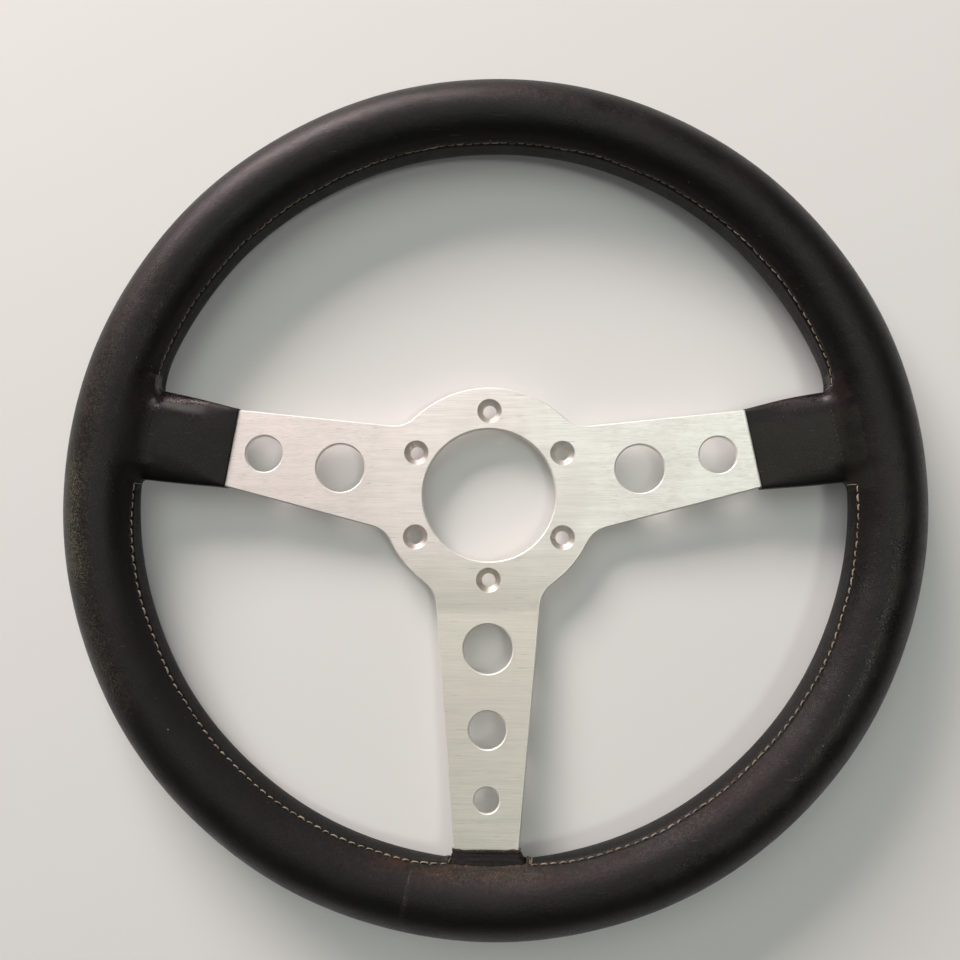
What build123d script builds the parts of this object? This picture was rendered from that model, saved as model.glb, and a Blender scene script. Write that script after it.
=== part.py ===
from build123d import *
from math import atan2, cos, degrees, radians, sin
import os

os.makedirs("parts", exist_ok=True)

# Three-spoke steering wheel, in millimetres. The origin is the centre of the spoke plate's back face,
# where it seats on the steering hub. +Z points along the column to the driver, +Y to the top of the wheel.

# Rim
rim_diameter = 350.0
grip_diameter = 30.2
leather_thickness = 1.0
rim_rise = 7.0  # from the hub's middle plane to the rim's middle plane

# Spoke plate: one sheet, a flat hub disc with three arms bent up to the rim
plate_thickness = 4.0
hub_diameter = 90.0
arm_root_width = 42.8  # where the arm leaves the hub disc
arm_tip_width = 23.0  # at a side arm's end, inside the rim
bottom_tip_width = 21.6  # the bottom arm tapers a little more
arm_root_fillet = 12.0
side_arm_lift = 10.0  # degrees above horizontal
bend_station = 48.0  # distance from the wheel's centre to the first bend
bend_radius = 25.0
tab_length = 18.0  # flat end of an arm, from the second bend to the tip
edge_chamfer = 0.5
arm_hole_diameters = [20.0, 15.0, 10.0]
arm_hole_stations = [63.0, 95.0, 122.0]

# Hub interface
centre_bore_diameter = 55.0
bolt_circle_diameter = 70.0
bolt_count = 6
first_bolt_angle = 30.0
bolt_hole_diameter = 5.6
countersink_diameter = 10.3
countersink_angle = 90.0

# Hoop: a rolled channel, open to the hub, that the arm tips enter
hoop_width = 16.0
hoop_wall = 2.0
slot_clearance = 0.1  # between an arm tip and each channel flange
tip_clearance = 0.5  # between an arm tip and the channel's web
hoop_joint_gap = 0.5

# Rivets through flange, arm tip and flange
rivet_diameter = 4.0
rivet_clearance = 0.1
rivet_spacing = 13.0
rivet_inset = 6.0  # from the arm's tip to the rivet line
rivet_head_diameter = 7.5
rivet_head_height = 1.8

# Ears: leather sleeves on the side arms, which swell towards the rim
ear_length = 37.3  # in front of the rim's inmost line
ear_root_width = 39.0
ear_root_depth = 12.0
pad_setback = 10.0  # from the ear's edge to the start of its padding, where the leather has lifted

# Collar where the bottom arm enters the rim
collar_length = 4.7
collar_root_width = 30.5
collar_root_depth = 14.0

sleeve_corner = 2.4

# Stitching
seam_angle = 26.0  # round the grip, from its inmost line towards the driver
seam_thread_diameter = 0.8
thread_sides = 6  # threads are plain six-sided cords here
sleeve_thread_diameter = 0.6
ear_seam_margin = 8.6  # degrees from an arm's middle to the nearest end of a seam
collar_seam_margin = 6.6
sleeve_seam_inset = 1.5
root_seam_setback = 2.9  # from the rim's inmost line to the stitch line across the ear

# Glue film that soft parts leave on what they cover
glue_gap = 0.3
thread_gap = 0.1

hub_radius = hub_diameter / 2
grip_radius = grip_diameter / 2
rim_radius = rim_diameter / 2 - grip_radius  # to the middle of the grip
inmost_radius = rim_radius - grip_radius
plate_middle = plate_thickness / 2
rim_middle = plate_middle + rim_rise
hoop_outer_radius = rim_radius + hoop_width / 2
hoop_depth = plate_thickness + 2 * (slot_clearance + hoop_wall)
arm_reach = hoop_outer_radius - hoop_wall - tip_clearance
tab_station = arm_reach - tab_length
arm_cut_end = arm_reach + hoop_width  # where the blank is drawn to, before its tips are cut round
slope_length = tab_station - bend_station
slope_angle = degrees(atan2(rim_rise, slope_length))
rivet_radius = arm_reach - rivet_inset
root_seam_station = inmost_radius - root_seam_setback
ear_start = inmost_radius - ear_length
collar_start = inmost_radius - collar_length

arms = {"right": side_arm_lift, "left": 180 - side_arm_lift, "bottom": 270.0}
tip_widths = {"right": arm_tip_width, "left": arm_tip_width, "bottom": bottom_tip_width}


def side_plane(direction):
    """Upright plane through the wheel's axis: local X runs out along the arm, local Y is up."""
    turn = radians(direction)
    return Plane(origin=(0, 0, 0), x_dir=(cos(turn), sin(turn), 0), z_dir=(sin(turn), -cos(turn), 0))


def cross_plane(direction, station):
    """Upright plane square to an arm's slope line, at the arm's middle height: local X runs across it."""
    side = side_plane(direction)
    centre = side.from_local_coords((station, middle_height(station), 0))
    return Plane(origin=centre, x_dir=-side.z_dir, z_dir=side.x_dir)


def slope_plane(direction, station):
    """Plane of an arm's middle surface at a station on its slope: local X runs up the slope."""
    side = side_plane(direction)
    centre = side.from_local_coords((station, middle_height(station), 0))
    turn = Axis((0, 0, 0), side.z_dir)
    return Plane(origin=centre, x_dir=side.x_dir.rotate(turn, slope_angle),
                 z_dir=side.y_dir.rotate(turn, slope_angle))


def middle_height(station):
    """Height of an arm's middle surface on its slope."""
    return plate_middle + rim_rise * (station - bend_station) / slope_length


def arm_half_width(arm_name, station):
    """Half of an arm's width at a distance from the wheel's centre."""
    taper = (arm_root_width - tip_widths[arm_name]) / (arm_reach - hub_radius)
    return (arm_root_width - taper * (station - hub_radius)) / 2


def bent_sheet(gap=0.0):
    """The plate's blank. A gap gives the room that soft parts leave round it instead."""
    with BuildPart() as sheet:
        for direction in arms.values():
            with BuildSketch(side_plane(direction)):
                with BuildLine():
                    FilletPolyline(
                        (0, plate_middle),
                        (bend_station, plate_middle),
                        (tab_station, rim_middle),
                        (arm_cut_end, rim_middle),
                        radius=bend_radius,
                    )
                trace(line_width=plate_thickness + 2 * gap)
            extrude(amount=hub_radius, both=True)
        with BuildSketch(Plane.XY.offset(-plate_thickness)) as outline:
            Circle(hub_radius)
            for arm_name, direction in arms.items():
                Polygon(
                    (0, arm_half_width(arm_name, 0)),
                    (0, -arm_half_width(arm_name, 0)),
                    (arm_cut_end, -arm_half_width(arm_name, arm_cut_end)),
                    (arm_cut_end, arm_half_width(arm_name, arm_cut_end)),
                    rotation=direction,
                    align=None,
                )
            fillet(outline.vertices().sort_by_distance((0, 0, 0))[: 2 * len(arms)], radius=arm_root_fillet)
            Circle(arm_reach, mode=Mode.INTERSECT)
            offset(amount=gap)
        extrude(amount=2 * plate_thickness + rim_middle + gap, mode=Mode.INTERSECT)
    return sheet.part


def hoop_section(gap=0.0):
    """The rolled channel's profile, open towards the hub, grown by a gap for what covers it."""
    slot_depth = plate_thickness + 2 * slot_clearance
    with BuildSketch(side_plane(0)) as section:
        with Locations((rim_radius, rim_middle)):
            Rectangle(hoop_width + 2 * gap, hoop_depth + 2 * gap)
        with Locations((rim_radius - hoop_wall - gap, rim_middle)):
            Rectangle(hoop_width, slot_depth - 2 * gap, mode=Mode.SUBTRACT)
    return section.sketch


def rivet_places(direction):
    """Middle points of the rivets in an arm's tip."""
    middle = side_plane(direction)
    return [
        middle.from_local_coords((rivet_radius, rim_middle, side * rivet_spacing / 2))
        for side in (-1, 1)
    ]


def sleeve_size(arm_name, station, start, root_width, root_depth):
    """Outer width and depth, at a station, of a sleeve that swells from a snug start to its root."""
    snug = 2 * (glue_gap + leather_thickness)
    start_width = 2 * arm_half_width(arm_name, start) + snug
    start_depth = plate_thickness + snug
    share = (station - start) / (tab_station - start)
    return (
        start_width + share * (root_width - start_width),
        start_depth + share * (root_depth - start_depth),
    )


def arm_sleeve(arm_name, start, root_width, root_depth, cut_back=0.0, skin=0.0):
    """Solid sleeve along an arm. It can start further up the arm, and a skin shrinks it all round."""
    with BuildPart() as sleeve:
        for station in (start + cut_back, tab_station):
            width, depth = sleeve_size(arm_name, station, start, root_width, root_depth)
            with BuildSketch(cross_plane(arms[arm_name], station)):
                RectangleRounded(width - 2 * skin, depth - 2 * skin, sleeve_corner - skin)
        loft()
    return sleeve.part


def thread_height(arm_name, station):
    """How far a thread on an ear's face lies from the arm's middle surface."""
    ear_depth = sleeve_size(arm_name, station, ear_start, ear_root_width, ear_root_depth)[1]
    return ear_depth / 2 + thread_gap + sleeve_thread_diameter / 2


def grip_ring(diameter):
    """Solid ring along the rim."""
    with BuildPart() as ring:
        with BuildSketch(side_plane(0)):
            with Locations((rim_radius, rim_middle)):
                Circle(diameter / 2)
        revolve(axis=Axis.Z)
    return ring.part


plate_room = bent_sheet(glue_gap)
rim_room = grip_ring(grip_diameter + 2 * glue_gap)

# The spoke plate, with bright chamfers on its outline and its round holes
with BuildPart() as spoke_plate:
    add(bent_sheet())
    walls = spoke_plate.faces().filter_by(lambda face: abs(face.normal_at().Z) < sin(radians(slope_angle)))
    chamfer(walls.edges().filter_by(Axis.Z, reverse=True), length=edge_chamfer)
    for direction in arms.values():
        for station, diameter in zip(arm_hole_stations, arm_hole_diameters):
            with Locations(slope_plane(direction, station)):
                Hole(radius=diameter / 2)
            chamfer(spoke_plate.edges(Select.LAST).filter_by(GeomType.CIRCLE), length=edge_chamfer)
        with Locations(rivet_places(direction)):
            Hole(radius=rivet_diameter / 2 + rivet_clearance)
    Hole(radius=centre_bore_diameter / 2)
    chamfer(spoke_plate.edges(Select.LAST).filter_by(GeomType.CIRCLE), length=edge_chamfer)
    with Locations(Plane.XY.offset(plate_thickness)):
        with PolarLocations(bolt_circle_diameter / 2, bolt_count, start_angle=first_bolt_angle):
            CounterSinkHole(
                radius=bolt_hole_diameter / 2,
                counter_sink_radius=countersink_diameter / 2,
                counter_sink_angle=countersink_angle,
            )
spoke_plate.part.label = "spoke_plate"
export_step(spoke_plate.part, "parts/spoke_plate.step")

# The hoop: its ends meet over the bottom arm, where each has its own rivet
with BuildPart() as rim_hoop:
    add(hoop_section())
    revolve(axis=Axis.Z)
    for direction in arms.values():
        with Locations(rivet_places(direction)):
            Hole(radius=rivet_diameter / 2 + rivet_clearance)
    with Locations((0, -rim_radius, rim_middle)):
        Box(hoop_joint_gap, 2 * hoop_width, 2 * hoop_depth, mode=Mode.SUBTRACT)
rim_hoop.part.label = "rim_hoop"
export_step(rim_hoop.part, "parts/rim_hoop.step")

# Rivets: two through each arm's tip, headed on both of the channel's flanges
for arm_name, direction in arms.items():
    with BuildPart() as rivets:
        with Locations(rivet_places(direction)):
            Cylinder(radius=rivet_diameter / 2, height=hoop_depth)
        for side in (-1, 1):
            head_middle = (0, 0, side * (hoop_depth + rivet_head_height) / 2)
            with Locations([place + head_middle for place in rivet_places(direction)]):
                Cylinder(radius=rivet_head_diameter / 2, height=rivet_head_height)
    rivets.part.label = f"{arm_name}_arm_rivets"
    export_step(rivets.part, f"parts/{arm_name}_arm_rivets.step")

# The foam's hollow follows the hoop, with one pocket at each arm for the heads of its rivets
with BuildPart() as hoop_room:
    add(hoop_section(glue_gap))
    revolve(axis=Axis.Z)
    pocket_width = rivet_head_diameter + 2 * glue_gap
    pocket_depth = hoop_depth + 2 * (rivet_head_height + glue_gap)
    for direction in arms.values():
        with Locations(side_plane(direction)):
            with Locations((rivet_radius, rim_middle, 0)):
                Box(pocket_width, pocket_depth, rivet_spacing + pocket_width)

# Foam moulded over the hoop
with BuildPart() as rim_padding:
    add(grip_ring(grip_diameter - 2 * (leather_thickness + glue_gap)))
    add(hoop_room.part, mode=Mode.SUBTRACT)
    add(plate_room, mode=Mode.SUBTRACT)
rim_padding.part.label = "rim_padding"
export_step(rim_padding.part, "parts/rim_padding.step")

# Leather of the rim: one strip sewn round the grip, slit where the arms pass
with BuildPart() as rim_leather:
    add(grip_ring(grip_diameter))
    add(grip_ring(grip_diameter - 2 * leather_thickness), mode=Mode.SUBTRACT)
    add(plate_room, mode=Mode.SUBTRACT)
rim_leather.part.label = "rim_leather"
export_step(rim_leather.part, "parts/rim_leather.step")

# Ears: a padded leather sleeve on each side arm, with a stitch line across its root and a seam behind
for arm_name in ("left", "right"):
    direction = arms[arm_name]
    ear_size = (arm_name, ear_start, ear_root_width, ear_root_depth)
    with BuildPart() as ear_padding:
        add(arm_sleeve(*ear_size, cut_back=pad_setback, skin=leather_thickness + glue_gap))
        add(plate_room, mode=Mode.SUBTRACT)
        add(rim_room, mode=Mode.SUBTRACT)
    ear_padding.part.label = f"{arm_name}_ear_padding"
    export_step(ear_padding.part, f"parts/{arm_name}_ear_padding.step")

    with BuildPart() as ear_leather:
        add(arm_sleeve(*ear_size))
        add(arm_sleeve(*ear_size, skin=leather_thickness), mode=Mode.SUBTRACT)
        add(rim_room, mode=Mode.SUBTRACT)
    ear_leather.part.label = f"{arm_name}_ear_leather"
    export_step(ear_leather.part, f"parts/{arm_name}_ear_leather.step")

    # A stitch line crosses the ear's front where it meets the rim
    root_front = cross_plane(direction, root_seam_station)
    half_line = ear_root_width / 2 - sleeve_corner - leather_thickness
    line_height = thread_height(arm_name, root_seam_station)
    with BuildPart() as root_thread:
        with BuildLine(root_front) as front_line:
            Line((-half_line, line_height), (half_line, line_height))
        with BuildSketch(front_line.line ^ 0):
            RegularPolygon(radius=sleeve_thread_diameter / 2, side_count=thread_sides)
        sweep()
    root_thread.part.label = f"{arm_name}_root_thread"
    export_step(root_thread.part, f"parts/{arm_name}_root_thread.step")

    # The sleeve is closed by a seam along the middle of its back
    back_start = ear_start + sleeve_seam_inset
    with BuildPart() as sleeve_thread:
        with BuildLine(side_plane(direction)) as back_line:
            Line(
                (back_start, middle_height(back_start) - thread_height(arm_name, back_start)),
                (root_seam_station, middle_height(root_seam_station) - line_height),
            )
        with BuildSketch(back_line.line ^ 0):
            RegularPolygon(radius=sleeve_thread_diameter / 2, side_count=thread_sides)
        sweep()
    sleeve_thread.part.label = f"{arm_name}_sleeve_thread"
    export_step(sleeve_thread.part, f"parts/{arm_name}_sleeve_thread.step")

# Collar: a leather gusset between the bottom arm and the rim
with BuildPart() as bottom_collar:
    add(arm_sleeve("bottom", collar_start, collar_root_width, collar_root_depth))
    add(plate_room, mode=Mode.SUBTRACT)
    add(rim_room, mode=Mode.SUBTRACT)
bottom_collar.part.label = "bottom_collar"
export_step(bottom_collar.part, "parts/bottom_collar.step")

# Hand stitching on the rim: one run between each two arms
seam_offset = grip_radius + thread_gap + seam_thread_diameter / 2
seam_place = (
    rim_radius - seam_offset * cos(radians(seam_angle)),
    rim_middle + seam_offset * sin(radians(seam_angle)),
)
seam_runs = {
    "upper": (arms["right"] + ear_seam_margin, arms["left"] - ear_seam_margin),
    "lower_left": (arms["left"] + ear_seam_margin, arms["bottom"] - collar_seam_margin),
    "lower_right": (arms["bottom"] + collar_seam_margin, arms["right"] + 360 - ear_seam_margin),
}
for run_name, (run_start, run_end) in seam_runs.items():
    with BuildPart() as seam_thread:
        with BuildSketch(side_plane(run_start)):
            with Locations(seam_place):
                RegularPolygon(radius=seam_thread_diameter / 2, side_count=thread_sides)
        revolve(axis=Axis.Z, revolution_arc=run_end - run_start)
    seam_thread.part.label = f"{run_name}_seam_thread"
    export_step(seam_thread.part, f"parts/{run_name}_seam_thread.step")
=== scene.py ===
from functools import partialmethod
from math import cos, degrees, pi, radians, sin

import bpy
import numpy as np
from mathutils import Matrix, Vector


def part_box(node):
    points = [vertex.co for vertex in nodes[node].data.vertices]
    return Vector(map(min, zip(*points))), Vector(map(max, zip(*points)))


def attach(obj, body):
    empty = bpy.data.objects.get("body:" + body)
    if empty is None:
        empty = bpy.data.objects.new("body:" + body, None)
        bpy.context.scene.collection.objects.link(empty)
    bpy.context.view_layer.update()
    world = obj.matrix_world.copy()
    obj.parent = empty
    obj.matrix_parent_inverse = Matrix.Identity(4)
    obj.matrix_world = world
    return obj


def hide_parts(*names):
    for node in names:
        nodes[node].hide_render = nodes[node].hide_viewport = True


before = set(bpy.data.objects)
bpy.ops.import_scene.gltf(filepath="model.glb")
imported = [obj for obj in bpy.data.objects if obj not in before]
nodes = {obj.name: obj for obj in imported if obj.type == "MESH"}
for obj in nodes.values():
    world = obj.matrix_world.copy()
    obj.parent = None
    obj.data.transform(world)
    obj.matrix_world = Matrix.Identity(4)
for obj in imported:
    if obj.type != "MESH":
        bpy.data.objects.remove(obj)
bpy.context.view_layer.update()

# A leather-covered three-spoke steering wheel, lying face up on a floor. The origin is the middle of the
# spoke plate's back face. Shapes are in millimetres until their mesh is made; materials, camera and lamps are
# in metres. A "station" is a distance from the wheel's middle along an arm.
MM = 0.001

# ---- Sizes read from the frame, and those that its boxes don't give

rim_low, rim_high = np.array(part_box("rim_leather")) / MM
GRIP = (rim_high[2] - rim_low[2]) / 2
RIM_MIDDLE = (rim_high[2] + rim_low[2]) / 2
RIM_RADIUS = rim_high[0] - GRIP
FLOOR_LEVEL = rim_low[2]

ARMS = {"right": 10.0, "left": 170.0, "bottom": 270.0}
UPWARD = {"right": 1.0, "left": -1.0, "bottom": 1.0}  # turns "across an arm" towards the wheel's top
PLATE_HALF = 2.0
HUB_RADIUS, ARM_REACH = 45.0, 165.4
ARM_ROOT_HALF = 21.4
ARM_TIP_HALVES = {"right": 11.5, "left": 11.5, "bottom": 10.8}
BEND_STATION, TAB_STATION = 48.0, 147.4  # the arms slope between these
BOLT_RADIUS, CONE_ROOM, CONE_RING = 35.0, 6.2, 0.14  # the six screw cones' circle, reach and painted highlight ring at their top
LEATHER, GLUE = 1.0, 0.1

EAR_START, EAR_END, EAR_BACK = 107.5, 156.0, 95.0
EARS = "right", "left"
PROFILE_STATIONS = np.array([104, 107.5, 114, 122, 131, 138, 145, 152])
# The ears' half widths towards the wheel's top and bottom, at those stations
EAR_EDGES = {
    ("right", "top"): [16.5, 16.45, 16.9, 17.5, 17.8, 17.7, 17.7, 18.2],
    ("right", "bottom"): [16.7, 16.6, 17.3, 18.2, 18.9, 19.4, 20.0, 20.6],
    ("left", "top"): [16.5, 16.45, 16.8, 17.4, 17.8, 18.0, 18.3, 18.8],
    ("left", "bottom"): [16.7, 16.6, 17.2, 18.0, 18.7, 19.2, 19.8, 20.4],
}
EAR_DEPTH, EAR_LIP, EAR_TAPER = 2.95, 0.4, 2.1  # half depth at the cut, swelling behind, growth to the rim
EAR_CROWN = 1.0
EAR_CORNER, CORNER_GROWTH = 1.3, 2.9
EAR_ROLLS = {"right": (3.4, 5.5), "left": (7.2, 7.0)}  # how much wider than deep the edges are rounded
EDGE_FILLET, FACE_FILLET = 2.6, 5.5  # how softly an ear runs into the grip
BESIDE = 24.0  # an ear lies no further than this across its arm
PAD_VOXEL, PAD_GAP = 0.8, 0.25  # the ear pads' mesh size and their clearance inside the leather

# Each seam run: its ends round the wheel, in degrees, and its number of stitches
SEAM_RUNS = {"upper": (17.5, 162.5, 102), "lower_left": (178.6, 264.2, 60), "lower_right": (276.7, 361.5, 59)}
# The hand-sewn line: places round the wheel, and its lean from the grip's inmost line, in degrees
SEAM_LINE = [
    (17.5, 20), (22, 24), (35, 26), (68, 25), (90, 22.5), (120, 21.5), (152, 20), (162.5, 14),
    (178.6, 15), (184.5, 19.5), (190, 24.4), (205, 24.4), (223, 29.6), (245, 29.6), (259, 27.5), (264.2, 19),
    (276.7, 21), (285, 29), (300, 30.5), (332, 30), (352, 27.5), (358, 25),
]
GROOVE, GROOVE_PULL, GROOVE_WIDTH = 0.42, 0.16, 0.62  # depth, how much deeper at a stitch's ends, and width
LIP, LIP_PULL, LIP_PLACE, LIP_WIDTH = 0.13, 0.05, 1.35, 0.8


def arm_axes(arm):
    """Unit vectors out along an arm and across it, anticlockwise."""
    turn = radians(ARMS[arm])
    return np.array([cos(turn), sin(turn), 0.0]), np.array([-sin(turn), cos(turn), 0.0])


def middle_height(station):
    """Height of an arm's middle surface."""
    rise = (np.clip(station, BEND_STATION, TAB_STATION) - BEND_STATION) / (TAB_STATION - BEND_STATION)
    return PLATE_HALF + rise * (RIM_MIDDLE - PLATE_HALF)


def arm_half_width(arm, station):
    """Half the width of an arm of the plate."""
    share = (station - HUB_RADIUS) / (ARM_REACH - HUB_RADIUS)
    return ARM_ROOT_HALF + share * (ARM_TIP_HALVES[arm] - ARM_ROOT_HALF)


def ease(low, high, value):
    """0 below low, 1 above high, and a soft slope between them."""
    share = np.clip((value - low) / (high - low), 0, 1)
    return share * share * (3 - 2 * share)


def plateau(value, low, rise, fall, high):
    """1 between rise and fall, with soft slopes to 0 at low and high."""
    return ease(low, rise, value) * (1 - ease(fall, high, value))


def hump(value, middle, width):
    """Bell curve, 1 in the middle."""
    return np.exp(-(((value - middle) / width) ** 2))


def unit(vectors):
    """Vectors of length 1."""
    return vectors / np.linalg.norm(vectors, axis=1)[:, None]


def waves(angle, *terms):
    """Sum of sines, each with its height, number of waves and start."""
    return sum(height * np.sin(count * angle + start) for height, count, start in terms)


# ---- The leather's surface, as a distance from it: positive outside

def arm_frame(points, arm):
    """Distance along an arm, across it towards the wheel's top, and above its middle surface."""
    out, across = arm_axes(arm)
    station = points @ out
    return station, UPWARD[arm] * (points @ across), points[:, 2] - middle_height(station)


def beside_ear(station, across, low, high):
    """True for points near an ear, between two stations."""
    return (station > low) & (station < high) & (np.abs(across) < BESIDE)


def rounded(side, face, corner):
    """Distance from two sides that meet in a rounded corner."""
    outside = np.hypot(np.maximum(side, 0), np.maximum(face, 0))
    return outside + np.minimum(np.maximum(side, face), 0) - corner


def box_section(across, lift, half_width, half_depth, corner):
    """Distance from a rounded rectangle, in a section."""
    return rounded(np.abs(across) - (half_width - corner), np.abs(lift) - (half_depth - corner), corner)


EAR_CURVES = {
    key: np.polynomial.Polynomial.fit(PROFILE_STATIONS, values, 4) for key, values in EAR_EDGES.items()
}


def ear_distance(points, arm):
    """Distance from an ear's sleeve, which deepens and crowns towards the rim."""
    station, across, lift = arm_frame(points, arm)
    within = np.clip(station, PROFILE_STATIONS[0], PROFILE_STATIONS[-1])
    top, bottom = EAR_CURVES[arm, "top"](within), EAR_CURVES[arm, "bottom"](within)
    half_width, shift = (top + bottom) / 2, (top - bottom) / 2
    swell = ease(EAR_START, TAB_STATION, within)
    crown = EAR_CROWN * swell * (1 - np.clip((across - shift) / half_width, -1, 1) ** 2)
    depth = EAR_DEPTH + EAR_LIP * ease(107, 113, within)
    depth = depth + EAR_TAPER * (within - EAR_START) / (TAB_STATION - EAR_START)
    corner = EAR_CORNER + CORNER_GROWTH * swell
    roll = corner + ease(EAR_START, 126, within) * np.where(across > shift, *EAR_ROLLS[arm])
    side = (np.abs(across - shift) - (half_width - roll)) * corner / roll
    distance = rounded(side, np.abs(lift) - (depth + crown - corner), corner)
    return np.maximum(distance, np.maximum(station - EAR_END, EAR_BACK - station))


def grip_frame(points):
    """Angle round the wheel, angle round the grip from its inmost line, and distance from the grip."""
    reach = np.hypot(points[:, 0], points[:, 1]) - RIM_RADIUS
    lift = points[:, 2] - RIM_MIDDLE
    round_wheel = np.mod(np.arctan2(points[:, 1], points[:, 0]), 2 * pi)
    return round_wheel, np.arctan2(lift, -reach), np.hypot(reach, lift) - GRIP


def leather_distance(points):
    """Distance from the leather of rim and ears, joined in soft fillets."""
    joined = grip_frame(points)[2]
    for arm in EARS:
        ear = ear_distance(points, arm)
        _, across, lift = arm_frame(points, arm)
        on_face = ease(2.0, 6.0, np.abs(lift)) * ease(-21, -12, across)
        reach = EDGE_FILLET + FACE_FILLET * on_face
        blend = np.clip(0.5 + 0.5 * (joined - ear) / reach, 0, 1)
        joined = joined + (ear - joined) * blend - reach * blend * (1 - blend)
    return joined


def slope_of(points):
    """Gradient of the distance from the leather."""
    step = 0.02
    shifts = step * np.eye(3)
    rises = [leather_distance(points + shift) - leather_distance(points - shift) for shift in shifts]
    return np.stack(rises, -1) / (2 * step)


def settle(points, rounds=4):
    """Moves points onto the leather's surface."""
    for _ in range(rounds):
        slope = slope_of(points)
        steep = np.maximum((slope**2).sum(1), 0.05)  # where the distance is flat, a step stays short
        points = points - (leather_distance(points) / steep)[:, None] * slope
    return points


def outward(points):
    """Directions straight out of the leather."""
    return unit(slope_of(points))


def seam_lean(round_wheel):
    """Angle round the grip of the hand-sewn seam, which wanders a little."""
    places, leans = zip(*SEAM_LINE)
    place = np.degrees(round_wheel)
    line = sum(np.interp(place + shift, places, leans, period=360) for shift in (-2, -1, 0, 1, 2)) / 5
    return np.radians(line) + waves(round_wheel, (0.16, 11, 0.7), (0.13, 29, 2.1)) / GRIP


def grip_point(round_wheel, round_grip):
    """Point of the plain grip's surface."""
    reach = RIM_RADIUS - GRIP * np.cos(round_grip)
    height = RIM_MIDDLE + GRIP * np.sin(round_grip)
    return np.stack([reach * np.cos(round_wheel), reach * np.sin(round_wheel), height], -1)


# ---- Mesh helpers

def add_object(name, data):
    """Object in the scene."""
    made = bpy.data.objects.new(name, data)
    bpy.context.scene.collection.objects.link(made)
    return made


def mesh_object(name, points, faces, attributes=None):
    """Smooth mesh object from points in millimetres, with values for them in named attributes."""
    mesh = bpy.data.meshes.new(name)
    mesh.from_pydata((np.asarray(points) * MM).tolist(), [], [tuple(map(int, f)) for f in faces])
    mesh.polygons.foreach_set("use_smooth", [True] * len(mesh.polygons))
    for attribute, values in (attributes or {}).items():
        layer = mesh.attributes.new(attribute, "FLOAT", "POINT")
        layer.data.foreach_set("value", np.asarray(values, np.float32))
    mesh.validate()
    mesh.update()
    return add_object(name, mesh)


def parts_of(mesh):
    """A mesh's points in millimetres, edges and faces."""
    flat = np.empty(len(mesh.vertices) * 3)
    mesh.vertices.foreach_get("co", flat)
    edges = np.array([e.vertices[:] for e in mesh.edges])
    return flat.reshape(-1, 3) / MM, edges, [tuple(p.vertices) for p in mesh.polygons]


def modified(points, faces, kind, **settings):
    """Points, edges and faces of a mesh after one modifier."""
    rough = mesh_object("rough", points, faces)
    modifier = rough.modifiers.new("change", kind)
    for key, value in settings.items():
        setattr(modifier, key, value)
    mesh = bpy.data.meshes.new_from_object(rough.evaluated_get(bpy.context.evaluated_depsgraph_get()))
    parts = parts_of(mesh)
    bpy.data.objects.remove(rough)
    bpy.data.meshes.remove(mesh)
    return parts


def open_edges(faces):
    """Edges that only one face uses, as directed pairs."""
    sides = dict.fromkeys(pair for face in faces for pair in zip(face, face[1:] + face[:1]))
    return [(a, b) for a, b in sides if (b, a) not in sides]


def tube_faces(rings, sides, start, closed=False):
    """Faces between rings of points, the first of which has the number start."""
    faces = []
    for k in range(rings if closed else rings - 1):
        here, beyond = start + k * sides, start + (k + 1) % rings * sides
        for m in range(sides):
            after = (m + 1) % sides
            faces.append((here + m, beyond + m, beyond + after, here + after))
    return faces


# ---- Cover: a grid round the grip, opened at each arm, with a sleeve for each ear

COLUMNS = 504
EAR_COLUMNS, COLLAR_COLUMNS = 12, 8  # half the columns that an opening spans
GRIP_ROWS = np.radians([-38, -26, -12, 0, 10, 16, 20, 23.5, 26, 28.5, 31.5, 36, 46, *range(58, 306, 13), 314])
EAR_ROWS, COLLAR_ROWS = (0, 11), (1, 6)  # the rows at an opening's back and front
SEAM_ROW, STILL_ROW = radians(26), radians(58)  # the row that follows the seam, and the first that stays
COLLAR_CALM = 0.115, 0.15  # radians from the bottom arm between which the rows start to wander
SLEEVE_HALF_WIDTH, SLEEVE_HALF_DEPTH = 18.0, 4.5  # of the rough sleeve
EAR_STATIONS = [*range(137, 112, -3), 110.5, 108.8, EAR_START]
EAR_CUTS = {"right": (0.75, 1.4), "left": (0.6, 0.1)}  # how far the cut edge lies back, at top and bottom
COLLAR_MIDDLE, COLLAR_HALF = 0.6, 15.3  # the collar's opening in the leather, across the arm

# Patches of the grip: strength, middle and half width round the wheel, middle and width round the grip
PATCHES = {
    "wear": [(1, 184, 8, 120, 17), (0.6, 198, 13, 114, 22), (0.35, 165, 18, 108, 28), (0.35, 270, 9, 38, 16)]
    + [(0.5, 259, 0.25, 75, 60)],
    # painted highlights: the first and third patches stand for light reflected on the lower right's inner
    # front and the upper left's outside
    "tint_and_highlight": [(0.7, 300, 34, 52, 22), (0.45, 252, 13, 52, 20), (0.9, 125, 50, 112, 20)]
    + [(0.15, 190, 20, 100, 30)],
    "rust": [(0.6, 267, 14, 38, 16), (0.5, 172, 5, 122, 14)],
    # painted shade: these patches also darken the colour of the lower inner front, besides dulling it
    "matt_and_shade": [(1.5, 226, 30, 48, 45), (0.8, 292, 34, 45, 35)],
    # painted highlight: a lighter green-grey band along the crown at the lower right
    "olive_and_highlight": [(0.8, 332, 40, 92, 20)],
}
# how strongly each ear's upper edge is painted purple as a highlight
EAR_PAINTED_HIGHLIGHTS = {"right": 0.7, "left": 0.95}
ROOT_CREASES = {"right": 0.2, "left": 0.08}  # depth of the stitched line across each ear's root
EAR_SWELLS = {"right": 0.3, "left": 0.9}  # height of the roll along each ear's upper edge


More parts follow.
